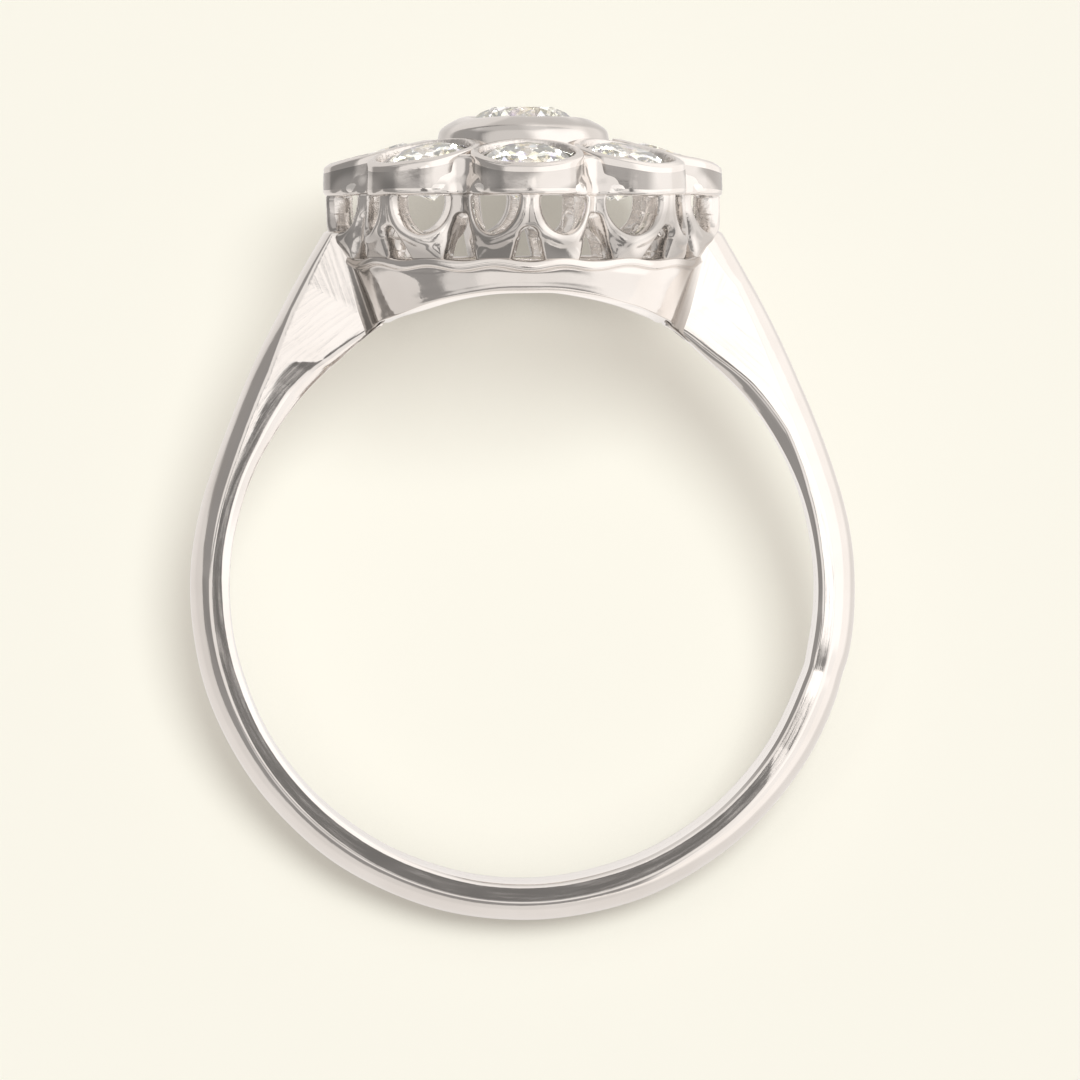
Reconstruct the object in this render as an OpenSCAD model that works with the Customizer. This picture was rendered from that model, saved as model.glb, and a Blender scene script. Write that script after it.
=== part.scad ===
// Daisy cluster ring: a round stone in a raised centre collet, eight petal stones in
// collets around it, a pierced gallery over a smooth tapered base, and a plain band.
// Sizes are in millimetres. The ring is drawn about the centre of its finger hole, with
// the finger axis along Z and the head towards +Y. It is then laid on its side, as it
// lies by itself: on the gallery under one petal and on the back of the band.

/* [Band] */
// Radius of the finger hole
bore_r = 8.5; // [8.4:0.05:8.6]
// Thickness of the band at the back, from the finger to the crest of the dome
band_t = 1.14; // [1.05:0.01:1.2]
// Width of the band along the finger
band_w = 2.1; // [1.9:0.05:2.3]
// Radius of the dome across the outside of the band
dome_r = 1.22; // [1.2:0.01:1.4]
// Angle above the middle of the hole at which the shoulders start to deepen
arm_from = 18.7; // [16:0.1:20]
// Radius of the outer curve of the shoulders, seen from the side
arm_r = 36; // [32:0.5:40]

/* [Base and gallery] */
// Radius of the rail on top of the base
rail_r = 5.2; // [5.15:0.01:5.3]
// Height of the rail's top above the finger's side of the band
rail_up = 1.1; // [1.05:0.01:1.15]
// Slope of the base, as millimetres of radius for each millimetre of height
base_slope = 0.33; // [0.28:0.01:0.36]
// Metal cut away from the underside of the base, deeper than the finger hole
saddle = 0.38; // [0.3:0.01:0.4]
// Distance from the head's middle to the centre of each lobe of the gallery wall
lobe_ring = 3.66; // [3.62:0.01:3.7]
// Radius of each lobe of the gallery wall
lobe_r = 2.04; // [2:0.01:2.06]
// Thickness of the gallery wall
wall = 0.46; // [0.4:0.01:0.5]
// Radius of the half-moon openings
moon_r = 0.86; // [0.8:0.01:0.88]

/* [Petal collets] */
// Distance from the head's middle to the middle of each petal
petal_ring = 4.15; // [4.12:0.01:4.18]
// Outer radius of a petal collet
petal_r = 1.62; // [1.61:0.01:1.64]
// Angle at which the petals lean outward
petal_lean = 18; // [15:1:20]
// Radius of a petal stone
petal_stone_r = 1.3; // [1.26:0.01:1.32]

/* [Centre collet] */
// Outer radius of the centre collet at its widest
centre_r = 2.44; // [2.42:0.01:2.48]
// Radius of the centre stone
centre_stone_r = 1.62; // [1.56:0.01:1.66]

/* [Hidden] */
$fn = 96;
petals = 8;
step = 360 / petals;
// Gap between a stone and its seat
gap = 0.045;

// Proportions of a round brilliant: crown and pavilion slopes, table and girdle
crown_slope = tan(34.5);
low_crown_slope = tan(31);
pavilion_slope = tan(40.8);
table_part = 0.56;
girdle = 0.06;

// Heights above the middle of the finger hole, along the head's axis
rail_top = bore_r + rail_up;
rail_low = rail_top - 0.26;
base_top = rail_top - 0.16;
base_h = base_top - bore_r + 2;
wall_low = rail_top - 0.1;
taper_top = rail_top + 0.75;
moon_top = rail_top + 1.76;
band_low = moon_top + 0.02;
deck_low = moon_top + 0.06;
wall_top = moon_top + 0.2;
deck_top = moon_top + 0.4;
well_top = moon_top + 0.7;
petal_top = moon_top + 1.26;
centre_top = moon_top + 2.28;
table_up = centre_top + 0.29;

// Radius of the disc that fills the head's middle, and how deep the petal stones sit
middle_r = 3.9;
petal_set = 0.28;
centre_set = table_up - (1 - table_part) * centre_stone_r * crown_slope;

// Centre of the shoulders' outer curve, on the line through the hole's centre
band_out = bore_r + band_t;
arm_x = -(arm_r - band_out) * cos(arm_from);
arm_y = -(arm_r - band_out) * sin(arm_from);
arm_top = taper_top + 0.07;

// The pose: lying on the gallery wall and on the edge of the band's flat side
edge_r = band_out - dome_r + sqrt(dome_r * dome_r - band_w * band_w / 4);
head_r = lobe_ring + lobe_r;
lie = atan2(head_r - band_w / 2, taper_top + edge_r);
lift = head_r * cos(lie) - taper_top * sin(lie);
reach_top = table_up * cos(lie) + table_part * centre_stone_r * sin(lie);
reach_back = (band_out - dome_r) * cos(lie) + dome_r;
slide = (reach_back - reach_top) / 2;

metal = [0.82, 0.8, 0.77];
stone = [0.93, 0.95, 0.97];

// Lays the whole ring on its side on the surface z = 0
module laid() {
  translate([0, slide, lift]) rotate([lie, 0, 0]) children();
}

// Turns the head's own axis, drawn along Z, to the ring's +Y
module on_head() {
  rotate([-90, 0, 0]) children();
}

// Repeats around the head, from the +X petal on
module around(turn = 0) {
  for (i = [0:petals - 1]) rotate([0, 0, i * step + turn]) children();
}

// Flat-sided section with a domed outside at radius out, and its inside at out - deep
module domed_section(out, deep) {
  intersection() {
    translate([out - deep, -band_w / 2]) square([deep + 1, band_w]);
    union() {
      translate([out - dome_r, 0]) circle(dome_r);
      translate([out - deep, -3]) square([deep - 0.84, 6]);
    }
  }
}

// The even part of the band, round the back. Its ends are buried in the shoulders.
module band() {
  bury = 16;
  rotate([0, 0, 180 - arm_from - bury])
    rotate_extrude(angle = 180 + 2 * (arm_from + bury))
      domed_section(band_out, band_t + 0.3);
}

// The right shoulder: the same section, swept about a centre far to the left. It starts
// a hair inside the band, so that the two surfaces cross.
module shoulder() {
  intersection() {
    translate([arm_x, arm_y, 0])
      rotate([0, 0, arm_from])
        rotate_extrude(angle = 20) domed_section(arm_r - 0.03, 5.2);
    translate([0, -1, -3]) cube([12, arm_top + 1, 6]);
  }
}

// Everything that the finger needs: the hole, its eased edges and the base's saddle
module finger_way() {
  flat_half = band_w / 2 - 0.2;
  ease_in = 1.05;
  way = 18;
  rotate_extrude() {
    translate([0, -way / 2]) square([bore_r, way]);
    difference() {
      translate([0, -way / 2]) square([bore_r + saddle, way]);
      translate([bore_r + ease_in, 0]) circle(norm([ease_in, flat_half]));
    }
  }
}

// Smooth tapered base, solid here
module base_body() {
  top_r = rail_r - 0.1;
  translate([0, 0, base_top - base_h])
    cylinder(h = base_h, r1 = top_r - base_slope * base_h, r2 = top_r);
}

// Rail around the top of the base, solid here
module rail() {
  translate([0, 0, rail_low]) cylinder(h = rail_top - rail_low, r = rail_r);
}

// Flat outline of eight lobes side by side, with a disc that fills the middle
module flower(radius, middle) {
  union() {
    circle(middle);
    around() translate([lobe_ring, 0]) circle(radius);
  }
}

// The gallery's wall before its openings are cut: upright lobes, drawn in by a cone
// below taper_top, where the inside is plain and round
module gallery_wall() {
  round_h = taper_top - 0.1 - rail_low;
  cone_h = 3;
  cone_slope = 0.63;
  cone_low_r = rail_r - 0.14;
  intersection() {
    difference() {
      translate([0, 0, wall_low]) linear_extrude(wall_top - wall_low)
        difference() {
          flower(lobe_r, middle_r);
          flower(lobe_r - wall, middle_r - wall);
        }
      translate([0, 0, rail_low]) cylinder(h = round_h, r = rail_r - 0.74);
    }
    translate([0, 0, rail_low])
      cylinder(h = cone_h, r1 = cone_low_r, r2 = cone_low_r + cone_h * cone_slope);
  }
}

// A flat outline pushed outward along +X, with its own Y as the height
module outward(from, length) {
  translate([from, 0, 0]) rotate([90, 0, 90]) linear_extrude(length) children();
}

// Half-moon opening: a circle with its top cut flat
module half_moon() {
  intersection() {
    translate([0, moon_top - 0.2]) circle(moon_r);
    translate([-1, moon_top - 2]) square([2, 2]);
  }
}

// Arch: a round crown on legs that spread towards the rail
module arch(crown_r, crown_up) {
  foot = 0.53;
  neck = crown_r - 0.015;
  neck_up = crown_up - crown_r + 0.05;
  translate([0, crown_up - crown_r]) circle(crown_r);
  polygon([[-foot, rail_low], [foot, rail_low], [neck, neck_up], [-neck, neck_up]]);
}

// The gallery wall with its openings. The shoulders stand where two of the lower
// arches would be, so those two are left out.
module gallery() {
  moon_at = 34;
  moon_turn = 28;
  difference() {
    gallery_wall();
    around() for (side = [-1, 1])
      translate([lobe_ring + lobe_r * cos(moon_at), side * lobe_r * sin(moon_at), 0])
        rotate([0, 0, side * moon_turn]) outward(-0.9, 1.7) half_moon();
    for (i = [0:petals - 1]) if (i % (petals / 2) != 0)
      rotate([0, 0, i * step]) outward(middle_r, 2.4) arch(0.3, rail_top + 0.86);
    around(step / 2) outward(middle_r - 0.2, 2) arch(0.24, rail_top + 1.2);
  }
}

// The hollow inside the base and the rail
module base_hollow() {
  hollow_r = rail_r - 0.78;
  translate([0, 0, base_top - base_h + 0.01])
    cylinder(h = base_h, r1 = hollow_r - base_slope * base_h, r2 = hollow_r);
  translate([0, 0, base_top - 0.05]) cylinder(h = 2, r = hollow_r + 0.01);
}

// Places a thing on a petal's leaning axis, with z = 0 in the plane of its rim
module leaning() {
  translate([petal_ring, 0, petal_top]) rotate([0, petal_lean, 0]) children();
}

// One petal collet before its seat is cut: upright walls under a leaning, bevelled top
module petal_collet() {
  rim_r = petal_stone_r + 0.1;
  bevel = 1.2;
  high = 3;
  intersection() {
    translate([petal_ring, 0, band_low]) cylinder(h = high, r = petal_r);
    leaning() translate([0, 0, -high]) cylinder(h = high, r1 = rim_r + bevel * high, r2 = rim_r);
  }
}

// The space for a stone in its collet, with z = 0 at the top of the girdle: the opening,
// the groove that holds the girdle, the cone under it and the hole through the metal
module seat(radius, open_r, slope, hole_r, through) {
  groove = radius + gap;
  drop = girdle + gap;
  cone_h = (groove - hole_r) * pavilion_slope;
  rim_up = (groove - open_r) * slope + gap;
  cylinder(h = 2, r = open_r);
  rotate_extrude() polygon([
    [0, rim_up], [open_r, rim_up], [groove, gap], [groove, -drop],
    [hole_r, -drop - cone_h], [hole_r, -through], [0, -through]
  ]);
}

// Centre collet before its seat is cut: a slightly tapered drum with a rounded rim
module centre_collet() {
  round_r = 0.45;
  rotate_extrude() polygon(concat(
    [[0, deck_low + 0.05], [centre_r + 0.26, deck_low + 0.05]],
    [for (a = [0:15:90]) [
      centre_r - round_r + round_r * cos(a), centre_top - round_r + round_r * sin(a)
    ]],
    [[0, centre_top]]
  ));
}

// Deck and collets, with every seat cut
module crown() {
  difference() {
    union() {
      around() translate([lobe_ring, 0, deck_low])
        cylinder(h = deck_top - deck_low, r = lobe_r - 0.08);
      translate([0, 0, deck_low]) cylinder(h = well_top - deck_low, r = middle_r);
      around() petal_collet();
      centre_collet();
    }
    around() leaning() translate([0, 0, -petal_set])
      seat(petal_stone_r, petal_stone_r - 0.04, low_crown_slope, 0.8, 3);
    translate([0, 0, centre_set])
      seat(centre_stone_r, centre_stone_r - 0.13, crown_slope, 1.05, 4);
  }
}

// Round brilliant with z = 0 at the top of its girdle: table, stars, kites, upper and
// lower girdle facets, and eight pavilion mains that meet at the culet
module brilliant(radius, slope) {
  table_r = table_part * radius;
  crown_h = (radius - table_r) * slope;
  star_r = table_r + 0.46 * (radius - table_r);
  star_z = crown_h - (star_r * cos(22.5) - table_r) * slope;
  half_r = 0.24 * radius;
  half_z = -girdle - (radius - half_r * cos(22.5)) * pavilion_slope;
  culet_z = -girdle - radius * pavilion_slope;
  points = concat(
    [for (k = [0:7]) [table_r * cos(45 * k), table_r * sin(45 * k), crown_h]],
    [for (k = [0:7]) [star_r * cos(45 * k + 22.5), star_r * sin(45 * k + 22.5), star_z]],
    [for (k = [0:15]) [radius * cos(22.5 * k), radius * sin(22.5 * k), 0]],
    [for (k = [0:15]) [radius * cos(22.5 * k), radius * sin(22.5 * k), -girdle]],
    [for (k = [0:7]) [half_r * cos(45 * k + 22.5), half_r * sin(45 * k + 22.5), half_z]],
    [[0, 0, culet_z]]
  );
  faces = concat(
    [[for (k = [0:7]) 7 - k]],
    [for (k = [0:7]) [k, (k + 1) % 8, 8 + k]],
    [for (k = [0:7]) [k, 8 + k, 16 + 2 * k, 8 + (k + 7) % 8]],
    [for (k = [0:7]) [8 + k, 17 + 2 * k, 16 + 2 * k]],
    [for (k = [0:7]) [8 + k, 16 + (2 * k + 2) % 16, 17 + 2 * k]],
    [for (k = [0:15]) [16 + k, 16 + (k + 1) % 16, 32 + (k + 1) % 16, 32 + k]],
    [for (k = [0:7]) [40 + k + 8, 32 + 2 * k, 33 + 2 * k]],
    [for (k = [0:7]) [40 + k + 8, 33 + 2 * k, 32 + (2 * k + 2) % 16]],
    [for (k = [0:7]) [56, 48 + (k + 7) % 8, 32 + 2 * k, 48 + k]]
  );
  polyhedron(points = points, faces = faces);
}

// The whole white gold mount
module ring_mount() {
  color(metal) laid() {
    difference() {
      union() {
        band();
        shoulder();
        mirror([1, 0, 0]) shoulder();
        on_head() rail();
        on_head() base_body();
      }
      finger_way();
      on_head() base_hollow();
    }
    on_head() gallery();
    on_head() crown();
  }
}

// The centre stone
module centre_stone() {
  color(stone) laid() on_head() translate([0, 0, centre_set])
    rotate([0, 0, 22.5]) brilliant(centre_stone_r, crown_slope);
}

// One petal stone, counted from the +X petal on
module petal_stone(number) {
  color(stone) laid() on_head() rotate([0, 0, (number - 1) * step])
    leaning() translate([0, 0, -petal_set]) brilliant(petal_stone_r, low_crown_slope);
}

ring_mount();
centre_stone();
petal_stone(1);  // petal_stone_1
petal_stone(2);  // petal_stone_2
petal_stone(3);  // petal_stone_3
petal_stone(4);  // petal_stone_4
petal_stone(5);  // petal_stone_5
petal_stone(6);  // petal_stone_6
petal_stone(7);  // petal_stone_7
petal_stone(8);  // petal_stone_8
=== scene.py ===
import bpy
import numpy as np
from mathutils import Matrix, Vector


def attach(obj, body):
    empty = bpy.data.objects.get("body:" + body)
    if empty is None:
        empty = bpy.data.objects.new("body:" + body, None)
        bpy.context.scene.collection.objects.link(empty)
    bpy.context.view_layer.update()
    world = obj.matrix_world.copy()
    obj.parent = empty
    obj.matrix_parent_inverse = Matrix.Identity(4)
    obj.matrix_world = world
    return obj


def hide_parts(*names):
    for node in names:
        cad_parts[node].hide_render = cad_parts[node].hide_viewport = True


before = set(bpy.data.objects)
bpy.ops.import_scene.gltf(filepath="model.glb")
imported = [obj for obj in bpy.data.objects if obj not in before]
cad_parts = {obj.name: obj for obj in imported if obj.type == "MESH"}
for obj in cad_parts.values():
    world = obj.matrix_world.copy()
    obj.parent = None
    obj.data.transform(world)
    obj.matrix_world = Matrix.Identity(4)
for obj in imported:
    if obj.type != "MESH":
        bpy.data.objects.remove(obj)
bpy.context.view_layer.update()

# Shank. One bar of white gold: a plain band with flat sides, a domed outside and eased inner
# edges, which deepens into the shoulders. It is filed and polished by hand, so its flats are
# a little wavy, and the joint where it was sized shows on the right as a shallow dip.
bore_r, band_out = 8.5, 9.64  # the finger hole, and the crest of the band's dome
half_w, dome_r = 1.05, 1.22  # half the band's width along the finger, and the dome's own round
arm_r = 36.0  # the shoulders' outer curve, seen from the side
arm_from, wall_from, arm_end = 18.7, 29.03, 31.61  # bearings where a shoulder starts, meets the base, ends
arm_tip = np.array([4.66, 10.42])  # where its inner face ends, inside the base
arm_centre = -(arm_r - band_out) * np.array([np.cos(np.radians(arm_from)), np.sin(np.radians(arm_from))])

# The ring lies on the gallery, at foot_r and foot_up, and on the edge of the band, at edge_r.
# The highest stone's table and the band's dome bound it along the floor, and slide centres it.
foot_r, foot_up, edge_r = 5.7, 10.35, 9.041
table_r, table_up = 0.907, 13.93
lie = np.arctan2(foot_r - half_w, foot_up + edge_r)
lift = foot_r * np.cos(lie) - foot_up * np.sin(lie)
to_head = table_up * np.cos(lie) + table_r * np.sin(lie)
to_back = (band_out - dome_r) * np.cos(lie) + dome_r
slide = (to_back - to_head) / 2


def laid(x, y, z):
    """Metres on the floor from millimetres in the ring's own frame (x right, y to the head, z along the
    finger): turned by the lie angle about x, slid along the floor and lifted on to it."""
    x, y, z = np.broadcast_arrays(x, y, z)
    return 0.001 * np.stack(
        [x, slide + y * np.cos(lie) - z * np.sin(lie), lift + y * np.sin(lie) + z * np.cos(lie)], -1)


def worked(name, places, loops, counts, finish, uv=None):
    """A mesh from its points, the corners of all its faces in one row, and each face's corner count."""
    mesh = bpy.data.meshes.new(name)
    mesh.vertices.add(len(places))
    mesh.vertices.foreach_set("co", np.ascontiguousarray(places, dtype=np.float32).ravel())
    mesh.loops.add(len(loops))
    mesh.loops.foreach_set("vertex_index", loops.astype(np.int32))
    mesh.polygons.add(len(counts))
    mesh.polygons.foreach_set("loop_start", (np.cumsum(counts) - counts).astype(np.int32))
    mesh.update(calc_edges=True)
    mesh.polygons.foreach_set("use_smooth", np.ones(len(counts), dtype=bool))
    if uv is not None:
        layer = mesh.uv_layers.new(name="run")
        layer.data.foreach_set("uv", uv[loops].astype(np.float32).ravel())
    for coat in finish:
        mesh.materials.append(coat)
    piece = bpy.data.objects.new(name, mesh)
    bpy.context.scene.collection.objects.link(piece)
    return piece


def bar(name, grid, finish, uv):
    """A closed bar from sections: grid[i, k] is point k of section i. Neighbouring points make a quad, each
    section closes on itself, and a fan to its middle closes each end."""
    n, k = grid.shape[:2]
    i, j = np.meshgrid(np.arange(n - 1), np.arange(k), indexing="ij")
    a, b = i * k + j, i * k + (j + 1) % k
    quads = np.stack([a, b, b + k, a + k], -1).reshape(-1, 4)
    ring, last = np.arange(k), (n - 1) * k
    nose = np.stack([(ring + 1) % k, ring, np.full(k, n * k)], -1)
    tail = np.stack([last + ring, last + (ring + 1) % k, np.full(k, n * k + 1)], -1)
    places = np.concatenate([grid.reshape(-1, 3), grid[[0, -1]].mean(axis=1)])
    uv = np.concatenate([uv.reshape(-1, 2), uv[[0, -1]].mean(axis=1)])
    loops = np.concatenate([quads.ravel(), nose.ravel(), tail.ravel()])
    counts = np.concatenate([np.full(len(quads), 4), np.full(2 * k, 3)])
    return worked(name, places, loops, counts, finish, uv)


def eased(part):
    """A smooth step, 3p^2 - 2p^3, of the part p of the way, which is held between 0 and 1."""
    part = np.clip(part, 0, 1)
    return part * part * (3 - 2 * part)


def shank_sections(steps):
    """Inner and outer points of the shank's sections, from the left tip round the back to the right tip.
    The outer curve is the band's circle and then the shoulder's larger one, which touch at arm_from. The
    inner one is the finger hole, lifted off it by a smooth step over the last degrees before the base, and
    above it a line inside the wall of the base."""
    lift_over, lifted = 3, 0.16
    turn = np.radians(np.linspace(-90, arm_from, steps))
    rise = np.radians(np.linspace(arm_from, arm_end, steps // 2)[1:])
    outer = np.concatenate([
        band_out * np.stack([np.cos(turn), np.sin(turn)], -1),
        arm_centre + arm_r * np.stack([np.cos(rise), np.sin(rise)], -1)])
    aim = np.stack([np.cos(rise), np.sin(rise)], -1)
    along = aim @ arm_centre
    lifted_r = bore_r + lifted * eased((np.degrees(rise) - wall_from + lift_over) / lift_over)
    reach_in = -along + np.sqrt(along**2 - arm_centre @ arm_centre + lifted_r**2)
    foot = arm_centre + reach_in[:, None] * aim
    up = np.clip((np.degrees(rise) - wall_from) / (arm_end - wall_from), 0, 1)[:, None]
    start = foot[np.argmax(up[:, 0] > 0) - 1]
    inside = start + up**0.8 * (arm_tip - start)
    inner = np.concatenate([bore_r * np.stack([np.cos(turn), np.sin(turn)], -1),
                            np.where(up > 0, inside, foot)])
    mirror = np.array([-1, 1])
    return np.concatenate([inner[:0:-1] * mirror, inner]), np.concatenate([outer[:0:-1] * mirror, outer])


def band_section(deep, ease, steep, rise, crisp, crease, inward, outward):
    """Half of each section as (distance from the inner face, height z): the inner face, a slightly round
    bevel as wide as ease that falls by steep times as much, two nearly flat facets that fall away from the
    crease between them by the slopes inward and outward, a small round, and the dome, an arc of that rise."""
    deep, ease, steep, rise, crisp, crease, inward, outward = (
        value[:, None] for value in (deep, ease, steep, rise, crisp, crease, inward, outward))
    drop, bulge = steep * ease, 0.16 * ease
    face = np.array([[0, 0.25, 0.5, 0.75, 0.95]]) * (half_w - drop - 0.02)
    part = np.array([[0.0, 0.03, 0.1, 0.25, 0.4, 0.55, 0.7, 0.82, 0.92]])
    bevel_z = half_w - drop * (1 - part) + bulge * part * (1 - part)
    share = np.linspace(0, 1, 22)[None, 1:]
    edge = deep - rise
    arc_r = (half_w**2 + rise**2) / (2 * rise)
    arc_end = np.arcsin(half_w / arc_r) - crisp / arc_r
    arc = arc_end * np.linspace(1, 0, 17)[None]
    arc_a, arc_z = edge + rise - arc_r * (1 - np.cos(arc)), arc_r * np.sin(arc)
    blend = np.linspace(0, 1, 6)[None, 1:-1]
    corner_a = (1 - blend) ** 2 * (edge - crisp) + 2 * blend * (1 - blend) * edge + blend**2 * arc_a[:, :1]
    corner_z = (1 - blend**2) * half_w + blend**2 * arc_z[:, :1]
    start = ease + 0.03
    a = np.concatenate([0 * face, ease * part, start + share * (edge - crisp - start), corner_a, arc_a], 1)
    z = np.concatenate([face, bevel_z, half_w + 0 * share + 0 * ease, corner_z, arc_z], 1)
    off = np.clip(a, ease, edge) - crease
    softness = 0.04
    ramp = (np.sqrt(off**2 + softness**2) + off) / 2
    return a, z * (1 - (inward * (ramp - off) + outward * ramp) / half_w)


def hand_wave(turn, seed, pitches, depth):
    """A slow wander along the work, as a hand leaves it: a few sines of turn with seeded phases."""
    draw = np.random.default_rng(seed)
    wave = 0 * turn
    for pitch in pitches:
        wave = wave + np.sin(pitch * turn + draw.uniform(0, 6.28)) * draw.uniform(0.5, 1)
    return depth * wave / len(pitches)


# The shoulders' flats have a crease, a lean and a bevel that differ from left to right. The
# tables give them by the height of the section: crease as a part of its depth, lean as a
# slope, ease as the bevel's width, steep as its slope and rise as the dome's arc.
inner, outer = shank_sections(230)
across = outer - inner
deep = np.linalg.norm(across, axis=1)
across = across / deep[:, None]
bearing = np.unwrap(np.arctan2(outer[:, 1], outer[:, 0]) + np.pi / 2)
run = np.concatenate([[0], np.cumsum(np.linalg.norm(np.diff(outer, axis=0), axis=1))])
band_deep, shoulder_more = 1.14, 2.2
shoulder_part = np.clip((deep - band_deep) / shoulder_more, 0, 1)
left = bearing < 2 * np.pi
height = outer[:, 1]
crease_left = np.interp(height, [0.5, 1.6, 3.0, 4.9, 6.4, 7.0, 7.5], [1.0, 0.48, 0.44, 0.45, 0.53, 0.5, 0.0])
crease_right = np.interp(height, [-7.5, -5.0], [1.0, 0.0])
crease = deep * np.where(left, crease_left, crease_right)
lean_in = np.where(left, np.interp(height, [-6, 0, 3, 5, 7], [0, 0.01, 0.018, 0.026, 0.028]), 0)
ease = np.where(left, np.interp(height, [-9.6, -6, -3, -0.3, 1.3, 4.6, 6.2, 7.2, 8.6],
                                [0.06, 0.07, 0.1, 0.14, 0.2, 0.24, 0.36, 0.3, 0.06]),
                np.interp(height, [-9.6, -6, -1, 1.3, 3.1, 4.9, 6.5, 8, 9],
                          [0.06, 0.1, 0.14, 0.14, 0.19, 0.37, 0.34, 0.16, 0.08]))
rise_left = np.interp(height, [-3, 1.5, 3, 5, 6.5, 8.2, 9.5], [0.61, 0.59, 0.54, 0.48, 0.47, 0.24, 0.2])
rise = np.where(left & (height > -3), rise_left, 0.61 - 0.4 * shoulder_part**1.3)
steep = np.where(left, 0.84, np.interp(height, [0, 3], [0.84, 0.74]))
crisp, lean_out = 0.06 + 0.1 * shoulder_part, 0.022 + 0 * deep
a, z = band_section(deep, ease, steep, rise, crisp, crease, lean_in, lean_out)
a = np.concatenate([a, a[:, -2:0:-1]], 1)
z = np.concatenate([z, -z[:, -2:0:-1]], 1)
girth = np.concatenate([0 * deep[:, None], np.cumsum(np.hypot(np.diff(a), np.diff(z)), 1)], 1)
dip_at, dip_length, dip_depth = np.radians(434.7), 0.42, 0.035  # the sized joint
dip = np.exp(-(((bearing - dip_at) * band_out / dip_length) ** 2))
sway = hand_wave(bearing, 3, (9, 14, 23), 0.008)[:, None] * np.sign(z) * np.clip(np.abs(z) - 0.7, 0, 1)
z = z * (1 - dip_depth * dip)[:, None] + sway
shift = (a / deep[:, None]) * (hand_wave(bearing, 5, (7, 12, 19), 0.022) - dip_depth * dip)[:, None]
shift = shift + (1 - a / deep[:, None]) * (hand_wave(bearing, 8, (8, 13, 21), 0.014) + 0.03 * dip)[:, None]
a = a + shift
nose = 0.12  # the length over which each tip closes, like a quarter circle
swell = np.minimum(1, np.minimum(run, run[-1] - run) / nose)
swell = np.sqrt(1 - (1 - np.clip(swell, 0, 1)) ** 2) * 0.98 + 0.02
a = deep[:, None] / 2 + (a - deep[:, None] / 2) * swell[:, None]
z = z * swell[:, None]
flat_xy = inner[:, None] + a[..., None] * across[:, None]
shank_uv = np.stack(np.broadcast_arrays(run[:, None], girth), -1)


def plug(tree, value, socket):
    """Gives the socket a value, or links another node's output to it."""
    if isinstance(value, bpy.types.NodeSocket):
        tree.links.new(value, socket)
    else:
        socket.default_value = value


def wire(tree, kind, **settings):
    """A node of that kind with its settings: a socket's value, another node's output, or a property."""
    node = tree.nodes.new(kind)
    for key, value in settings.items():
        slot = node.inputs.get(key.replace("_", " ").title()) or node.inputs.get(key)
        if slot is None:
            setattr(node, key, value)
        else:
            plug(tree, value, slot)
    return node


def reckoned(tree, operation, *values, kind="ShaderNodeMath"):
    """One step of arithmetic on the values."""
    step = wire(tree, kind, operation=operation)
    for value, socket in zip(values, step.inputs):
        plug(tree, value, socket)
    return step.outputs["Value"]


def stepped(tree, value, start, end, low=0.0, high=1.0, smooth=True):
    """A step from low, where the value is at start, to high, where it is at end: smooth or straight."""
    step = wire(tree, "ShaderNodeMapRange", interpolation_type="SMOOTHSTEP" if smooth else "LINEAR")
    for key, bound in (("Value", value), ("From Min", start), ("From Max", end),
                       ("To Min", low), ("To Max", high)):
        plug(tree, bound, step.inputs[key])
    return step.outputs["Result"]


def mixed(tree, share, first, second, **settings):
    """From the first value to the second by the share."""
    mix = wire(tree, "ShaderNodeMix", **settings)
    for key, value in (("Factor", share), ("A", first), ("B", second)):
        plug(tree, value, mix.inputs[key])
    return mix.outputs["Result"]


def shaded(tree, colour, shade, share):
    """The colour multiplied by the shade, as far as the share goes."""
    return mixed(tree, share, colour, (*shade, 1), data_type="RGBA", blend_type="MULTIPLY")


def noise(tree, spot, scale, detail=2.0):
    """Soft noise at the spot, from 0 to 1."""
    return wire(tree, "ShaderNodeTexNoise", Vector=spot, Scale=scale, Detail=detail).outputs["Fac"]


def ramped(tree, value, stops, bands=False):
    """The colour at the value, from stops of a value and a colour: run together, or in flat bands."""
    ramp = wire(tree, "ShaderNodeValToRGB", Fac=value)
    ramp.color_ramp.interpolation = "CONSTANT" if bands else "LINEAR"
    ends = ramp.color_ramp.elements
    for end, (at, colour) in zip((ends[0], ends[1]), (stops[0], stops[-1])):
        end.position, end.color = at, (*colour, 1)
    for at, colour in stops[1:-1]:
        ends.new(at).color = (*colour, 1)
    return ramp.outputs["Color"]


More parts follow.
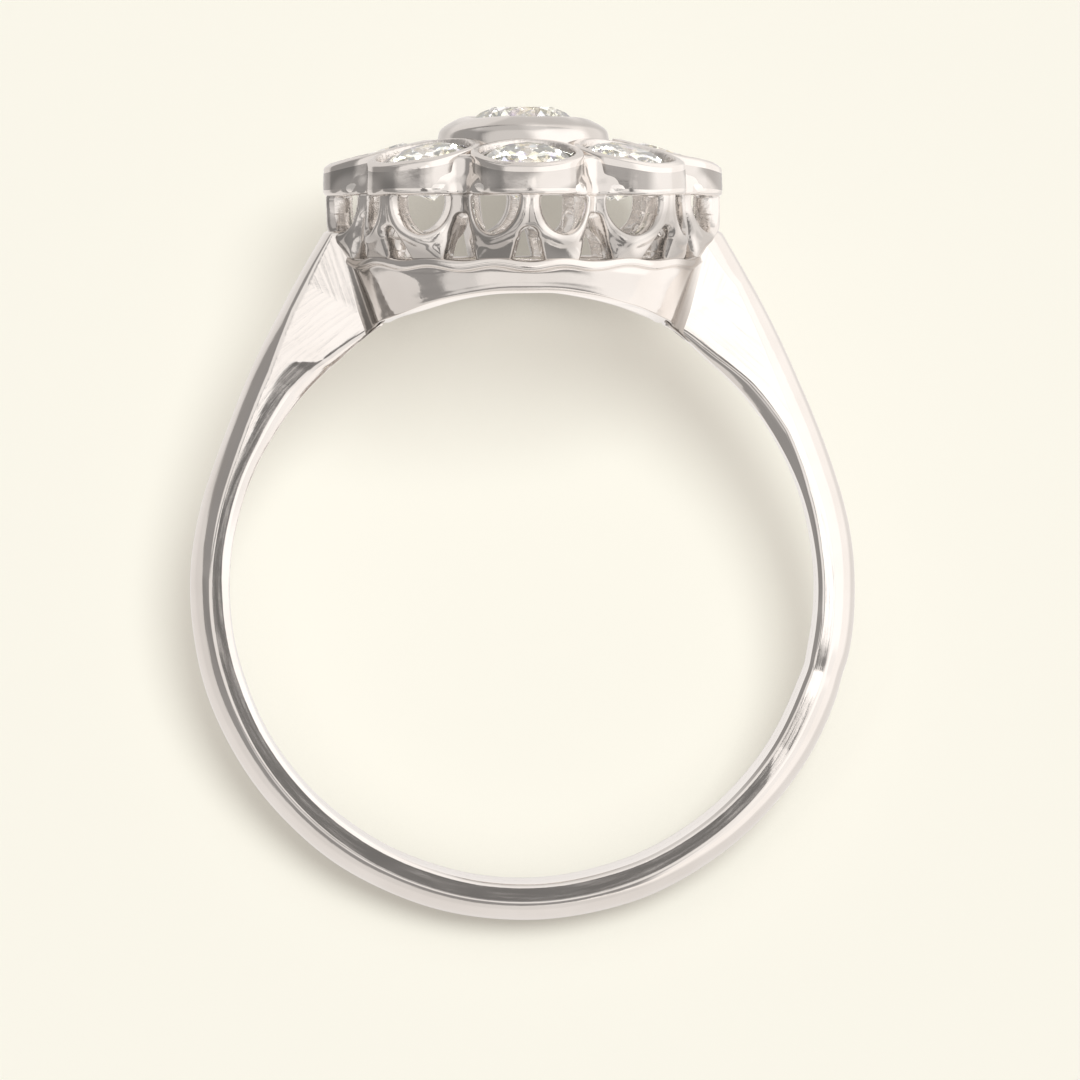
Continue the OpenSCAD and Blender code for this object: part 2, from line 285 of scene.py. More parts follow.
def white_gold(name, rough, polish, scratch, hammer, grain, along=False, painted_shade_from=None, painted_dark_reflections=None,
               glow=0.0):
    """Polished white gold: warm grey metal whose colour drifts a little, with a roughness between the two
    given, fine scratches (run along the work where along is true), and hammer marks of the given grain.
    Painted shade darkens the metal from the first to the second distance of painted_shade_from to either side
    of the middle, and painted dark reflections darken it in soft blotches between the two shades given as
    painted_dark_reflections.
    A faint glow stands for the light that many reflections carry into a narrow hollow."""
    coat = bpy.data.materials.new(name)
    coat.use_nodes = True
    tree = coat.node_tree
    shader = tree.nodes["Principled BSDF"]
    shader.inputs["Metallic"].default_value = 1
    shader.inputs["Emission Color"].default_value = (0.9, 0.86, 0.82, 1)
    shader.inputs["Emission Strength"].default_value = glow
    place = wire(tree, "ShaderNodeTexCoord")
    spot = place.outputs["Object"]
    colour = ramped(tree, noise(tree, spot, 420.0, 3.0), (
        (0.3, (0.80, 0.765, 0.735)), (0.7, (0.87, 0.84, 0.815))))
    # Painted shade: the colour is darkened out to either side of the middle.
    if painted_shade_from:
        split = wire(tree, "ShaderNodeSeparateXYZ", Vector=spot)
        side = reckoned(tree, "ABSOLUTE", split.outputs["X"])
        colour = shaded(tree, colour, (0.5, 0.48, 0.46), stepped(tree, side, *painted_shade_from))
    # Painted dark reflections: the colour is darkened in soft noise blotches.
    if painted_dark_reflections:
        share = stepped(tree, noise(tree, spot, 900.0, 0.0), 0.42, 0.6, 1 - painted_dark_reflections[0], 1 - painted_dark_reflections[1])
        colour = shaded(tree, colour, (0.02, 0.015, 0.01), share)
    tree.links.new(colour, shader.inputs["Base Color"])
    if along:
        line = wire(tree, "ShaderNodeMapping", Vector=place.outputs["UV"], Scale=(0.35, 6.0, 1.0),
                    Rotation=(0.0, 0.0, 0.12))
        hair = noise(tree, line.outputs["Vector"], 1.6, 4.0)
    else:
        line = wire(tree, "ShaderNodeMapping", Vector=spot, Scale=(900.0, 5200.0, 2400.0))
        hair = noise(tree, line.outputs["Vector"], 1.0, 4.0)
    tree.links.new(stepped(tree, hair, 0.35, 0.7, polish, rough, smooth=False), shader.inputs["Roughness"])
    fine = wire(tree, "ShaderNodeBump", Strength=scratch, Distance=0.00002, Height=hair)
    marks = wire(tree, "ShaderNodeBump", Strength=hammer, Distance=0.00003,
                 Height=noise(tree, spot, grain, 5.0), Normal=fine.outputs["Normal"])
    tree.links.new(marks.outputs["Normal"], shader.inputs["Normal"])
    return coat


def mounted(piece):
    """The piece rides with the ring and stands for the CAD mount, which it hides."""
    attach(piece, "root")
    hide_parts("ring_mount")
    return piece


bright_gold = white_gold("white_gold_bright", 0.16, 0.05, 0.08, 0.5, 1300.0)
filed_gold = white_gold("white_gold_filed", 0.14, 0.04, 0.1, 0.1, 900.0, along=True)
cast_gold = white_gold("white_gold_cast", 0.34, 0.16, 0.2, 0.4, 6000.0, glow=0.08)
mounted(bar("shank", laid(flat_xy[..., 0], flat_xy[..., 1], z), [filed_gold], shank_uv))

# Base. A smooth tapered tube under the head, hollow inside and cut below to the curve of
# the finger, with the gallery's rail raised around its top. It is cast with the head, and
# the rail dips a little under each of the sixteen arches.
cone_r, cone_slope, base_top = 5.1, 0.33, 9.44  # the cone's radius at base_top, and how it narrows below
hollow_r = 4.42  # the hollow's radius at base_top
saddle_r, lip_r = 8.88, 8.62  # the curve cut under the base: its outer edge, and its lip by the finger
cone_end, well_end = 9.3, 9.4  # where the cone and the hollow run into the rail


def at_head(x, y, up):
    """Metres on the floor from the head's own frame: up is along the head's axis, and y to the floor side.
    Each point strays by some hundredths, by sines of its own place with seeded directions 1.3 to 3 mm
    long, because the head was worked by hand; parts that touch stray together."""
    x, y, up = np.broadcast_arrays(x, y, up)
    draw = np.random.default_rng(21)
    stray = np.zeros((3, *x.shape))
    for _ in range(9):
        way = draw.normal(size=3)
        way *= 6.28 / draw.uniform(1.3, 3) / np.linalg.norm(way)
        push = (draw.normal(size=3) * 0.007).reshape(3, *[1] * x.ndim)
        stray += push * np.sin(way[0] * x + way[1] * y + way[2] * up + draw.uniform(0, 6.28))
    return laid(x + stray[0], up + stray[2], -(y + stray[1]))


def looped(controls, parts):
    """A closed cubic B-spline through a ring of control points controls[k, ...]: each stretch blends four
    neighbours by the basis (1-t)^3, 3t^3-6t^2+4, -3t^3+3t^2+3t+1 and t^3, all over 6."""
    t = np.arange(parts) / parts
    basis = np.stack([(1 - t) ** 3, 3 * t**3 - 6 * t**2 + 4, -3 * t**3 + 3 * t**2 + 3 * t + 1, t**3]) / 6
    near = np.stack([np.roll(controls, 1 - s, axis=0) for s in range(4)])
    curve = np.einsum("sp,sk...->kp...", basis, near)
    return curve.reshape(-1, *controls.shape[1:])


def collar(name, grid, finish, copies=1):
    """A closed collar: grid[k, j] is point k of the closed section at bearing j. Quads join neighbours both
    ways round. copies more than one turns it about the head's axis into as many equal collars."""
    n, m = grid.shape[:2]
    i, j = np.meshgrid(np.arange(n), np.arange(m), indexing="ij")
    p, q = i * m, (i + 1) % n * m
    quads = np.stack([p + j, p + (j + 1) % m, q + (j + 1) % m, q + j], -1).reshape(-1, 4)
    turn = 2 * np.pi * np.arange(copies)[:, None] / copies
    x, y, up = grid.reshape(-1, 3).T
    places = at_head(x * np.cos(turn) - y * np.sin(turn), x * np.sin(turn) + y * np.cos(turn), up + 0 * turn)
    loops = (quads.ravel() + n * m * np.arange(copies)[:, None]).ravel()
    return worked(name, places.reshape(-1, 3), loops, np.full(copies * len(quads), 4), finish)


def sloped(radius, up):
    """The cone's or the hollow's radius at the height up, from the one at base_top."""
    return radius - cone_slope * (base_top - up)


# The cut's height at each bearing lies on the circle about the finger and on the slope at once;
# repeating the step from one to the other settles there. The cone is faintly four-sided.
bearing = np.linspace(0, 2 * np.pi, 384, endpoint=False)
cone_round = cone_r * (1 - 0.018 * np.cos(4 * bearing))
low_out = low_in = 8.0 + 0 * bearing
for _ in range(12):
    low_out = np.sqrt(saddle_r**2 - (sloped(cone_round, low_out) * np.cos(bearing)) ** 2)
    low_in = np.sqrt(lip_r**2 - (sloped(hollow_r, low_in) * np.cos(bearing)) ** 2)
rail_dip = 0.06 * np.cos(16 * bearing)
skirt = []
for part in (0.0, 0.1, 0.5, 0.88):
    up = low_out + 0.1 + part * (cone_end - low_out - 0.1)
    skirt.append((sloped(cone_round, up), up))
rail = [(5.06, 9.31 - rail_dip), (5.15, 9.33 - rail_dip), (5.21, 9.38 - rail_dip),
        (5.215, 9.47 - rail_dip), (5.2, 9.56 - rail_dip), (5.13, 9.6 - rail_dip / 2),
        (5.0, 9.6), (4.7, 9.6), (4.46, 9.57), (4.42, 9.46)]
well = []
for part in (0.15, 0.6, 0.95):
    up = well_end + part * (low_in + 0.1 - well_end)
    well.append((sloped(hollow_r, up), up))
edge_in, edge_out = sloped(hollow_r, low_in), sloped(cone_round, low_out)
lip = [(edge_in, low_in + 0.02), (edge_in + 0.06, low_in), (edge_in + 0.25, low_in),
       (edge_out - 0.2, low_in + 0.03), (edge_out - 0.06, low_out - 0.1), (edge_out - 0.02, low_out - 0.03),
       (edge_out, low_out + 0.03)]
profile = np.array([[r + 0 * bearing, up + 0 * bearing] for r, up in skirt + rail + well + lip])
profile = looped(profile.transpose(0, 2, 1), 5)
radius, up = profile[..., 0], profile[..., 1]
# The base's colour carries painted shade towards its ends by the shoulders, in the crease where they meet.
base_gold = white_gold("white_gold_base", 0.16, 0.05, 0.08, 0.3, 1300.0, painted_shade_from=(0.0042, 0.0047))
mounted(collar("base", np.stack([radius * np.cos(bearing), radius * np.sin(bearing), up], -1), [base_gold]))

# Solder. Four hollow rounds run the shoulders' flats into the base, where the joint was
# flooded with solder and then smoothed; they end flush at the finger hole.
solder_low, solder_top = 6.95, 9.5
round_low, round_top = 0.85, 0.45  # the hollow's radius, at the foot and at the top
solder_in = 0.2  # how far the bar's hidden side lies inside the metal


def solder_round(side_x, side_z, steps):
    """A bar along the corner between the base's cone and a shoulder's flat. At each height a circle of
    radius f touches both, with its centre at x = sqrt((r + f)^2 - (flat + f)^2) and z = flat + f, and the arc
    between the touching points is the hollow round; the other points lie inside the metal. Its foot is
    held up to the curve cut under the base."""
    up = np.linspace(solder_low, solder_top, steps)[:, None]
    f = round_low - (round_low - round_top) * (up - solder_low) / (solder_top - solder_low)
    r = sloped(cone_r - 0.06, up)
    flat = half_w - 0.05
    x, z = np.sqrt((r + f) ** 2 - (flat + f) ** 2), flat + f
    first = np.arctan2(-z, -x)
    angle = first + (-np.pi / 2 - first) * np.linspace(0, 1, 15)[None]
    px, pz = x + f * np.cos(angle), z + f * np.sin(angle)
    hidden = 0 * x + 0.75
    px = np.concatenate([px, x, np.sqrt(r**2 - flat**2), px[:, :1] * (1 - solder_in / r)], 1)
    pz = np.concatenate([pz, hidden, hidden, pz[:, :1] * (1 - solder_in / r)], 1)
    low_r = np.concatenate([np.linspace(8.84, 8.6, 15), [8.6, 8.7, 8.86]])
    height = np.maximum(up, np.sqrt(low_r**2 - px**2) + 0.02 * (up - solder_low))
    if side_x * side_z < 0:
        px, pz, height = px[:, ::-1], pz[:, ::-1], height[:, ::-1]
    uv = np.stack(np.broadcast_arrays(up, np.arange(px.shape[1])[None] * 0.1), -1)
    return laid(side_x * px, height, side_z * pz), uv


# The solder rounds carry painted shade, deepest by the base in the corner it makes with the shoulders.
solder_gold = white_gold("white_gold_solder", 0.2, 0.08, 0.1, 0.4, 1300.0, painted_shade_from=(0.0052, 0.0045))
for number, (side_x, side_z) in enumerate(((1, 1), (1, -1), (-1, 1), (-1, -1)), 1):
    grid, uv = solder_round(side_x, side_z, 40)
    mounted(bar(f"solder_{number}", grid, [solder_gold], uv))

# Gallery. The pierced wall between the rail and the collets: eight upright lobes drawn in
# below, with sixteen half-moons cut out over sixteen small arches. Each half-moon hangs in
# a flat raised band like a swag. It is cast, left rough in its hollows and polished outside.
lobe_ring, lobe_r = 3.66, 2.04  # the circle of the lobes' middles, and a lobe's own radius
lobe_end, valley_r = np.radians(65.9), 0.3  # how far round a lobe's wall goes, and the round between two
wall_low, wall_top, wall_t, wall_foot_t = 9.46, 11.5, 0.76, 0.46
thin_from, thin_over, rail_in_r = 10.5, 0.6, 4.46  # where the wall thins downwards, and the rail's inside
moon_wide, moon_high, moon_top, moon_at = 0.75, 0.9, 11.36, np.radians(28)
arch_middle, arch_joint = (0.26, 10.46), (0.13, 10.8)  # crown's radius and height: mid-lobe, at a joint
arch_foot, arch_low = 0.53, 9.34  # half width at the rail, and the rail's height
drawn_r, drawn_slope = 5.06, 0.63  # the wall's outside at the rail, and how it spreads above
swag_wide, swag_fade, swag_high = 0.24, 0.18, 0.05  # the raised band: width, soft edge, height


def soft_min(p, q, k):
    """The lesser of p and q, with the corner between them rounded over a width k."""
    h = np.clip(0.5 + (q - p) / (2 * k), 0, 1)
    return q + (p - q) * h - k * h * (1 - h)


def lobed(theta, ring, radius, fillet):
    """How far the outline of eight lobes reaches at bearing theta: out to the nearer lobe's circle, and in
    the valleys to a small circle that touches both neighbours."""
    half = np.pi / 8
    off = np.abs((theta + half) % (2 * half) - half)
    root = radius**2 - (ring * np.sin(off)) ** 2
    reach = ring * np.cos(off) + np.sqrt(np.maximum(root, 0))
    centre = ring * np.cos(half) + np.sqrt((radius + fillet) ** 2 - (ring * np.sin(half)) ** 2)
    touch = np.array([centre * np.cos(half) - ring, centre * np.sin(half)]) * radius / (radius + fillet)
    valley = fillet**2 - (centre * np.sin(half - off)) ** 2
    valley = centre * np.cos(half - off) - np.sqrt(np.maximum(valley, 0))
    return np.where(off > np.arctan2(touch[1], ring + touch[0]), valley, reach)


def gallery_metal(u, up):
    """Distance to the nearest edge of the wall at lobe count u and height up, more than zero in the metal:
    the least of the distances to the half-moons, the arches, and the wall's top and bottom. The two lobes
    that stand on the shoulders have no arch in the middle."""
    lobe = np.floor(u)
    swing = (u - lobe - 0.5) * 2 * lobe_end
    side = np.abs(swing)
    w = lobe_r * (np.sin(side - moon_at) - np.sin(np.radians(3)))
    bowl = (np.hypot(w / moon_wide, (up - moon_top + 0.1) / moon_high) - 1) * moon_wide
    moon = -soft_min(-bowl, -(up - moon_top), 0.08)
    w = lobe_r * np.sin(side)
    middle = np.where(lobe % 4 == 0, 1.0, arch_distance(w, up, *arch_middle))
    x, y = lobe_ring + lobe_r * np.cos(side), lobe_r * np.sin(side)
    w = -(y * np.cos(np.pi / 8) - x * np.sin(np.pi / 8))
    joint = arch_distance(w, up, *arch_joint)
    least = soft_min(moon, middle, 0.05)
    least = soft_min(least, joint, 0.05)
    return np.minimum(least, np.minimum(up - wall_low, wall_top - up)), moon


def arch_distance(w, up, crown_r, crown_up):
    """Distance outside an arch: from the crown's circle above its centre, and from the leg's slanted line,
    which spreads towards the rail, below it."""
    centre = crown_up - crown_r
    lean = (arch_foot - crown_r) / (centre - arch_low)
    leg = (np.abs(w) - crown_r - lean * np.maximum(centre - up, 0)) / np.hypot(1, lean)
    return np.where(up > centre, np.hypot(w, up - centre) - crown_r, leg)


rim_turn = np.radians(50)  # the rounded edge stops here on both faces, and a strip bridges the rest
# A cell's polygon, for each set of corners in the metal: corners 0 to 3, and 4 to 7 where the side
# after corner 0 to 3 crosses the edge.
cell_cuts = [[] for _ in range(16)]
for case in range(16):
    inside = [case >> corner & 1 for corner in range(4)]
    for corner in range(4):
        if inside[corner]:
            cell_cuts[case].append(corner)
        if inside[corner] != inside[(corner + 1) % 4]:
            cell_cuts[case].append(4 + corner)


def pierced(metal, u, v, round_over):
    """The part of a flat grid where metal(u, v) is above a small depth, cut exactly along its edge: each
    cell keeps the polygon of its inside corners and of the points where its sides cross the edge. Returns
    the flat points, the polygons' corners and counts, and the edge as pairs of points."""
    depth = round_over * (1 - np.cos(rim_turn))
    gu, gv = np.meshgrid(u, v, indexing="ij")
    level = metal(gu, gv) - depth
    nu, nv = level.shape
    number = np.arange(nu * nv).reshape(nu, nv)

    def crossing(first, second, du, dv):
        share = level[first] / np.where(level[first] == level[second], 1, level[first] - level[second])
        share = np.clip(share, 0.02, 0.98)
        return np.stack([gu[first] + share * du, gv[first] + share * dv], -1)

    flat = np.stack([gu, gv], -1).reshape(-1, 2)
    along_u = crossing(np.s_[:-1, :], np.s_[1:, :], np.diff(u)[:, None], 0)
    along_v = crossing(np.s_[:, :-1], np.s_[:, 1:], 0, np.diff(v)[None])
    number_u = nu * nv + np.arange((nu - 1) * nv).reshape(nu - 1, nv)
    number_v = nu * nv + (nu - 1) * nv + np.arange(nu * (nv - 1)).reshape(nu, nv - 1)
    points = np.concatenate([flat, along_u.reshape(-1, 2), along_v.reshape(-1, 2)])
    ids = np.stack([number[:-1, :-1], number[1:, :-1], number[1:, 1:], number[:-1, 1:],
                    number_u[:, :-1], number_v[1:], number_u[:, 1:], number_v[:-1]], -1)
    inside = level > 0
    cases = (inside[:-1, :-1] * 1 + inside[1:, :-1] * 2 + inside[1:, 1:] * 4 + inside[:-1, 1:] * 8)
    loops, counts, rims = [], [], []
    for case in range(1, 16):
        cuts = cell_cuts[case]
        cells = ids[cases == case][:, cuts]
        if len(cells) == 0:
            continue
        loops.append(cells.ravel())
        counts.append(np.full(len(cells), len(cuts)))
        for at, corner in enumerate(cuts):
            after = (at + 1) % len(cuts)
            if corner > 3 and cuts[after] > 3:
                rims.append(np.stack([cells[:, at], cells[:, after]], -1))
    loops, counts, rims = map(np.concatenate, (loops, counts, rims))
    return points, loops, counts, rims


def sheet_with_openings(name, metal, u, v, round_over, place, finish, wraps=False, rough_from=1e9):
    """A pierced wall with rounded edges. place(u, v, side) gives the wall's outside at side 1, its middle at
    0 and its inside at -1. Near an edge both faces close in as a quarter circle of radius round_over does,
    and a strip over the last 100 degrees joins them. The inside is in finish 1, and so is the middle of the
    strip where v is over rough_from."""
    points, loops, counts, rims = pierced(lambda a, b: metal(a, b)[0], u, v, round_over)
    if wraps:
        period = u[-1] - u[0]
        keys = np.round(np.stack([(points[:, 0] - u[0]) % period, points[:, 1]], -1), 7)
        keys[:, 0] = np.where(np.isclose(keys[:, 0], period, atol=1e-6), 0, keys[:, 0])
        _, first, back = np.unique(keys, axis=0, return_index=True, return_inverse=True)
        back = back.ravel()
        points, loops, rims = points[first], back[loops], back[rims]
    used, loops = np.unique(loops, return_inverse=True)
    loops = loops.ravel()
    renumber = np.full(len(points), -1)
    renumber[used] = np.arange(len(used))
    points, rims = points[used], renumber[rims]
    count = len(points)
    depth = np.maximum(metal(points[:, 0], points[:, 1])[0], 0)
    close = np.sqrt(1 - (1 - np.clip(depth / round_over, 0, 1)) ** 2)
    rim_ids = np.unique(rims)
    close[rim_ids] = np.sin(rim_turn)
    step = 1e-4
    rim = points[rim_ids]
    slope = np.stack([metal(*(rim + side).T)[0] - metal(*(rim - side).T)[0]
                      for side in np.array([[step, 0], [0, step]])], -1) / 2 / step
    slope = slope / np.maximum((slope**2).sum(1, keepdims=True), 0.04)
    turns = rim_turn * np.array([0.5, 0, -0.5])
    extra = [rim - slope * round_over * (np.cos(t) - np.cos(rim_turn)) for t in turns]
    flat = np.concatenate([points, points, *extra])
    side = np.concatenate([close, -close, *[np.full(len(rim), np.sin(t)) for t in turns]])
    places = place(flat[:, 0], flat[:, 1], side)
    spot = np.full(count, -1)
    spot[rim_ids] = np.arange(len(rim_ids))
    rows = [rims] + [2 * count + k * len(rim_ids) + spot[rims] for k in range(3)] + [count + rims]
    strips = [np.stack([r0[:, 1], r0[:, 0], r1[:, 0], r1[:, 1]], -1) for r0, r1 in zip(rows[:-1], rows[1:])]
    starts = np.cumsum(counts) - counts
    face = np.repeat(np.arange(len(counts)), counts)
    reverse = loops[starts[face] + counts[face] - 1 - (np.arange(len(loops)) - starts[face])]
    all_loops = np.concatenate([loops, count + reverse, *[s.ravel() for s in strips]])
    all_counts = np.concatenate([counts, counts, np.full(4 * len(rims), 4)])
    piece = worked(name, places, all_loops, all_counts, finish)
    index = np.zeros(len(all_counts), dtype=np.int32)
    index[len(counts):2 * len(counts)] = 1
    index[2 * len(counts) + len(rims):-len(rims)] = np.tile(points[rims[:, 0], 1] > rough_from, 2)
    piece.data.polygons.foreach_set("material_index", index)
    return piece


def cast_skin(x, y, z, depth, seed):
    """The uneven skin of a casting: forty sines in seeded directions, 0.1 to 0.3 mm long."""
    draw = np.random.default_rng(seed)
    wave = 0 * x
    for _ in range(40):
        way = draw.normal(size=3)
        way *= 6.28 / draw.uniform(0.1, 0.3) / np.linalg.norm(way)
        wave = wave + np.sin(way[0] * x + way[1] * y + way[2] * z + draw.uniform(0, 6.28))
    return depth * wave / 6


def gallery_place(u, up, side):
    """A point of the wall: its bearing from the lobe's circle, the wall's middle and half thickness at that
    bearing and height from the outer and inner outlines, and the swag's raised band on the outside."""
    lobe = np.floor(u)
    swing = (u - lobe - 0.5) * 2 * lobe_end
    theta = lobe * np.pi / 4 + np.arctan2(lobe_r * np.sin(swing), lobe_ring + lobe_r * np.cos(swing))
    drawn_in = drawn_r + drawn_slope * (up - arch_low)
    out = soft_min(lobed(theta, lobe_ring, lobe_r, valley_r), drawn_in, 0.12)
    low = eased((thin_from - up) / thin_over)
    within = (lobed(theta, lobe_ring, lobe_r - wall_foot_t, valley_r) * low
              + lobed(theta, lobe_ring, lobe_r - wall_t, valley_r) * (1 - low))
    at_rail = np.clip((10.35 - up) / 0.2, 0, 1)
    within = soft_min(within, rail_in_r + (1 - at_rail) * 3, 0.1)
    moon = gallery_metal(u, up)[1]
    swag = eased(1 - (moon - swag_wide) / swag_fade)
    within = within + cast_skin(within * np.cos(theta), within * np.sin(theta), up, 0.008, 11)
    out = out - swag_high * (1 - swag)
    middle, half = (out + within) / 2, (out - within) / 2
    radius = middle + half * side
    return at_head(radius * np.cos(theta), radius * np.sin(theta), up)


# The swags' outside carries painted dark reflections in soft blotches.
swag_gold = white_gold("white_gold_swag", 0.18, 0.06, 0.1, 0.5, 1300.0, painted_dark_reflections=(0.62, 0.96), glow=0.03)
mounted(sheet_with_openings(
    "gallery", gallery_metal, np.linspace(-0.5, 7.5, 8 * 104 + 1), np.linspace(9.4, 11.56, 56),
    0.16, gallery_place, [swag_gold, cast_gold], wraps=True, rough_from=10.5))

# Deck. The plate that carries the nine collets and closes the top of the gallery, with a
# hole under every stone to let the light through. Its underside is left as cast.
deck_low, deck_top, well_top = 11.42, 11.76, 12.06
deck_lobe_r, disc_r, well_r = 1.96, 3.9, 4.0
petal_hole_r, centre_hole_r, holes_up = 0.8, 1.05, 11.6
tilt = np.radians(18)  # the petals' lean
petal_ring, rim_up = 4.15, 12.62  # where the middle of a petal's rim stands: from the head's middle, and up


def deck_metal(x, y):
    """Distance to the edge of the plate: the larger reach of the eight lobes and the middle disc, less the
    holes under the stones, which lie on the petals' leaning axes."""
    radius, theta = np.hypot(x, y), np.arctan2(y, x)
    off = (theta + np.pi / 8) % (np.pi / 4) - np.pi / 8
    near = np.hypot(radius * np.cos(off) - lobe_ring, radius * np.sin(off))
    plate = -soft_min(-(deck_lobe_r - near), -(disc_r - radius), 0.1)
    hole_ring = petal_ring - np.tan(tilt) * (rim_up - holes_up)
    hole = np.hypot(radius * np.cos(off) - hole_ring, radius * np.sin(off)) - petal_hole_r
    return np.minimum(plate, np.minimum(hole, radius - centre_hole_r)), plate


def deck_place(x, y, side):
    """The plate's underside is level; its top steps up towards the middle."""
    top = deck_top + (well_top - deck_top) * eased((well_r - np.hypot(x, y)) / 0.2)
    middle, half = (top + deck_low) / 2, (top - deck_low) / 2
    return at_head(x, -y, middle + half * side)


deck_gold = white_gold("white_gold_deck", 0.3, 0.14, 0.1, 0.6, 2600.0, glow=0.16)
deck_grid = np.linspace(-5.8, 5.8, 140)
mounted(sheet_with_openings(
    "deck", deck_metal, deck_grid, deck_grid, 0.1, deck_place, [deck_gold, cast_gold]))

# Petal collets. Eight short tubes, soldered side by side on the deck and leaning outward.
# Each has its rim rubbed over the stone and cut bright, a groove for the girdle and a cone
# under it, open at the bottom.
petal_r = 1.62
rim_tip = 0.11  # how much higher a rim stands at the outer end of the head, and lower at the inner end
bearing = np.linspace(0, 2 * np.pi, 88, endpoint=False)


def upright(radius, up):
    """A level circle about the collet's foot."""
    return np.stack([petal_ring + radius * np.cos(bearing), radius * np.sin(bearing), up + 0 * bearing], -1)


def leaning(radius, rise, tip=0.0):
    """A circle about the collet's leaning axis, rise above the plane of its rim, and tipped: higher by tip at
    the outer end of the head and lower by as much at the inner end."""
    x, y = radius * np.cos(bearing), radius * np.sin(bearing)
    rise = rise + tip * np.cos(bearing)
    return np.stack([petal_ring + x * np.cos(tilt) + rise * np.sin(tilt), y,
                     rim_up - x * np.sin(tilt) + rise * np.cos(tilt)], -1)


brow = rim_up - np.tan(tilt) * petal_r * np.cos(bearing) - 0.01 + rim_tip * np.cos(bearing)
foot = [upright(1.3, 11.44), upright(1.46, 11.37), upright(1.56, 11.4), upright(1.61, 11.45)]
wall = [upright(1.628, 11.52), upright(1.618, 11.5 + 0.5 * (brow - 11.5)), upright(1.606, brow - 0.07),
        upright(1.595, brow)]
rim = [leaning(1.56, 0.0, rim_tip), leaning(1.49, 0.03, rim_tip), leaning(1.42, 0.04, rim_tip),
       leaning(1.375, 0.02, rim_tip), leaning(1.345, -0.04, 0.1), leaning(1.32, -0.14, 0.06)]
groove = [leaning(1.295, -0.24, 0.02), leaning(1.33, -0.26), leaning(1.35, -0.3), leaning(1.35, -0.38)]
cone = [leaning(1.3, -0.41), leaning(1.05, -0.62), leaning(0.84, -0.8), leaning(0.79, -0.9),
        leaning(0.79, -1.05), upright(0.95, 11.52)]
rings = np.array(foot + wall + rim + groove + cone)
rows = 4  # rows of faces from each ring to the next
cut_gold = white_gold("white_gold_bright_cut", 0.12, 0.03, 0.3, 1.0, 9000.0)
# The collets' outside walls carry painted dark reflections in soft blotches.
wall_gold = white_gold("white_gold_wall", 0.22, 0.08, 0.1, 0.5, 1300.0, painted_dark_reflections=(0.42, 0.8), glow=0.05)
petal_collets = mounted(collar(
    "petal_collets", looped(rings, rows), [bright_gold, cut_gold, wall_gold], copies=8))
finishes = np.zeros((8, len(rings) * rows, len(bearing)), dtype=np.int32)
finishes[:, 4 * rows:6 * rows - 1] = 2  # the outside wall
finishes[:, 9 * rows:13 * rows] = 1  # the rim's cut slope
petal_collets.data.polygons.foreach_set("material_index", finishes.ravel())

# Webs. Between neighbours the collets are run together with solder, which fills each valley
# with a hollow round from the deck up to the rims, and spreads at its foot to the gallery.
web_r, web_fillet = 1.6, 0.46  # a collet's outline, and the hollow round in a valley
web_under, web_fill = 0.34, 0.3  # how far the top lies under the rims, and how much it rises in a valley
web_deep, web_in_r = 0.14, 3.98  # how far a web reaches inside the outline, and its least radius
bearing = np.linspace(0, 2 * np.pi, 8 * 72, endpoint=False)
off = np.abs((bearing + np.pi / 8) % (np.pi / 4) - np.pi / 8)
web_out = lobed(bearing, petal_ring, web_r, web_fillet)
web_in = np.maximum(lobed(bearing, petal_ring, web_r, 0.001) - web_deep, web_in_r)
in_valley = np.clip((off - np.radians(16.5)) / np.radians(3), 0, 1)
web_top = rim_up - np.tan(tilt) * (web_out * np.cos(off) - petal_ring) - web_under + web_fill * in_valley
at_foot = eased((off - np.radians(13)) / np.radians(6))
spread = at_foot * np.maximum(lobed(bearing, lobe_ring, lobe_r, valley_r) - swag_high - web_out, 0)
web = [(web_in, 11.5), (web_in + 0.05, 11.44), (web_out + spread - 0.12, 11.38), (web_out + spread, 11.42),
       (web_out + spread, 11.56), (web_out + 0.72 * spread, 11.72), (web_out + 0.3 * spread, 11.88),
       (web_out + 0.06 * spread, 12.02), (web_out, web_top - 0.16), (web_out - 0.03, web_top - 0.05),
       (web_out - 0.12, web_top), (web_in + 0.12, web_top + 0.08 * in_valley), (web_in, web_top - 0.1)]
web = looped(np.array([[r + 0 * bearing, up + 0 * bearing] for r, up in web]), 4)
mounted(collar("webs", np.stack(
    [web[:, 0] * np.cos(bearing), web[:, 0] * np.sin(bearing), web[:, 1]], -1), [bright_gold]))

# Centre collet. A slightly tapered drum of white gold, soldered on the deck so that it stands
# above the petals, with a full rounded rim rubbed over the centre stone.
bearing = np.linspace(0, 2 * np.pi, 160, endpoint=False)
drum = looped(np.array([
    (1.3, 11.5), (2.6, 11.5), (2.69, 11.56), (2.69, 11.7), (2.6, 12.2), (2.5, 12.8), (2.46, 13.0),
    (2.45, 13.16), (2.39, 13.29), (2.25, 13.4), (2.05, 13.51), (1.87, 13.6), (1.72, 13.64),
    (1.6, 13.65), (1.51, 13.62), (1.485, 13.55), (1.56, 13.46), (1.66, 13.44), (1.67, 13.34),
    (1.6, 13.3), (1.3, 13.05), (1.08, 12.86), (1.045, 12.75), (1.045, 12.2), (1.06, 11.6)]), 5)
# The drum carries painted dark reflections in soft blotches.
drum_gold = white_gold("white_gold_drum", 0.2, 0.07, 0.1, 0.5, 1300.0, painted_dark_reflections=(0.72, 0.96), glow=0.04)
mounted(collar("centre_collet", np.stack(
    [drum[:, :1] * np.cos(bearing), drum[:, :1] * np.sin(bearing), drum[:, 1:] + 0 * bearing], -1),
    [drum_gold]))
